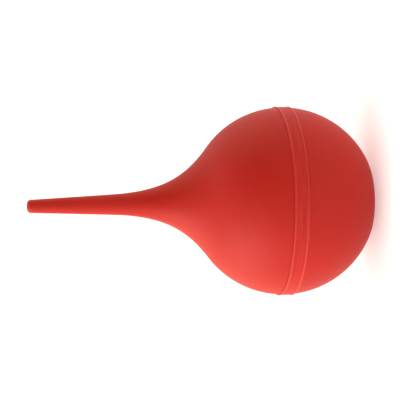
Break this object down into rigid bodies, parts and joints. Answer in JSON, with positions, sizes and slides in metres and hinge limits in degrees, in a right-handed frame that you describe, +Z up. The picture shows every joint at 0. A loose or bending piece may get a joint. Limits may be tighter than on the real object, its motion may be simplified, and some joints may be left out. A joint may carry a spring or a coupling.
{
  "type": "pipette filler bulb",
  "caption": "Soft round rubber bulb with a flattened base, a raised belt around its middle and a long tapered nozzle; squeezed and let go, it draws liquid up into a glass pipette.",
  "frame": {"origin": "centre of the flattened base, on the surface that the bulb stands on", "axes": "+Z up the bulb's axis of symmetry, from the base to the tip of the nozzle; +X and +Y are free, because the bulb is round"},
  "size_m": [0.0606, 0.0606, 0.1106],
  "materials": {
    "bulb_rubber": "matte red rubber with a soft sheen",
    "belt_rubber": "matte red rubber, moulded smooth",
    "tape_rubber": "dull unpolished red-brown rubber"
  },
  "bodies": {
    "rear_body": {"rear_dome": "bulb_rubber"},
    "front_body": {"front_shell": "bulb_rubber", "seam_belt": "belt_rubber", "inner_seam_tape": "tape_rubber"}
  },
  "joints": [
    {"name": "squeeze", "type": "slide", "parent": "rear_body", "child": "front_body", "axis": [0, 0, -1], "range_m": [0, 0.015], "stiffness_N_per_m": 1200, "deforming": ["rear_dome"]}
  ]
}
